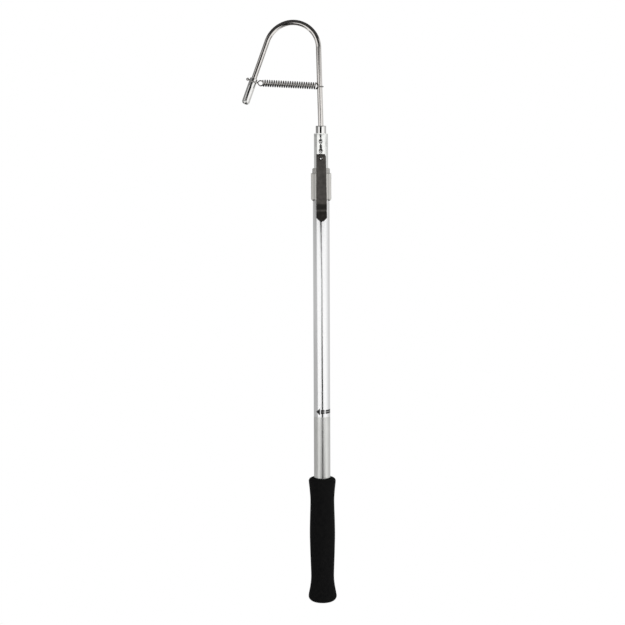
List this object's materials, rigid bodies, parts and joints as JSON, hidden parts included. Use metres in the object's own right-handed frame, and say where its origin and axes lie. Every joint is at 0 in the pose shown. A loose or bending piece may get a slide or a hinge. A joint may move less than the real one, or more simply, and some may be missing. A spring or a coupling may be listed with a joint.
{
  "type": "telescopic fishing gaff",
  "caption": "Telescopic fishing gaff with a round-bar hook, a sprung point cap, a twist-locked aluminium shaft, a belt clip and a foam grip",
  "frame": {"origin": "middle of the grip's flat butt, on the shaft's axis", "axes": "+Z along the shaft from the grip to the hook, -X towards the hook's point, -Y out of the belt clip's face"},
  "size_m": [0.1059, 0.0344, 0.6741],
  "materials": {
    "foam": "matt black closed-cell foam, moulded",
    "outer_tube": "satin clear anodised drawn tube",
    "inner_tube": "bright clear anodised drawn tube",
    "ferrule": "polished turned aluminium",
    "collar": "light grey moulded nylon",
    "nylon": "natural white moulded nylon",
    "insert": "turned brass",
    "plated_steel": "zinc plated steel",
    "hook_steel": "polished stainless round bar",
    "cap_steel": "polished drawn stainless thimble",
    "spring_wire": "drawn stainless spring wire",
    "clip_steel": "blackened spring steel, satin",
    "rivet": "bright steel rivet"
  },
  "bodies": {
    "handle": {"grip": "foam", "outer_tube": "outer_tube", "butt_plug": "nylon", "guide_collar": "collar"},
    "lock": {"expander_sleeve": "nylon"},
    "wedge": {"wedge_nut": "nylon", "wedge_insert": "insert"},
    "shaft": {"inner_tube": "inner_tube", "end_plug": "nylon", "lock_stud": "plated_steel", "stop_washer": "plated_steel", "stop_nut": "plated_steel", "hook_ferrule": "ferrule", "hook": "hook_steel", "hook_nut": "plated_steel", "hook_spring": "spring_wire", "clip_base": "clip_steel", "clip_rivet": "rivet"},
    "cap": {"point_cap": "cap_steel"},
    "clip": {"clip_leaf": "clip_steel"}
  },
  "joints": [
    {"name": "shaft_slide", "type": "slide", "parent": "handle", "child": "lock", "axis": [0, 0, 1], "range_m": [0, 0.36]},
    {"name": "lock_twist", "type": "hinge", "parent": "lock", "child": "shaft", "pos_m": [0, 0, 0], "axis": [0, 0, 1], "range_deg": [0, 270]},
    {"name": "wedge_feed", "type": "slide", "parent": "lock", "child": "wedge", "axis": [0, 0, -1], "range_m": [0, 0.0015]},
    {"name": "cap_slide", "type": "slide", "parent": "shaft", "child": "cap", "axis": [-0.3453, 0, -0.9385], "range_m": [0, 0.034], "stiffness_N_per_m": 40, "springref_m": -0.02, "deforming": ["hook_spring"]},
    {"name": "clip_flex", "type": "hinge", "parent": "shaft", "child": "clip", "pos_m": [0, -0.015, 0.5147], "axis": [-1, 0, 0], "range_deg": [0, 7], "stiffness_Nm_per_rad": 1.5, "springref_deg": -2.86}
  ],
  "couplings": [
    {"joint": "wedge_feed", "follows": "lock_twist", "m_per_rad": 0.000318}
  ]
}
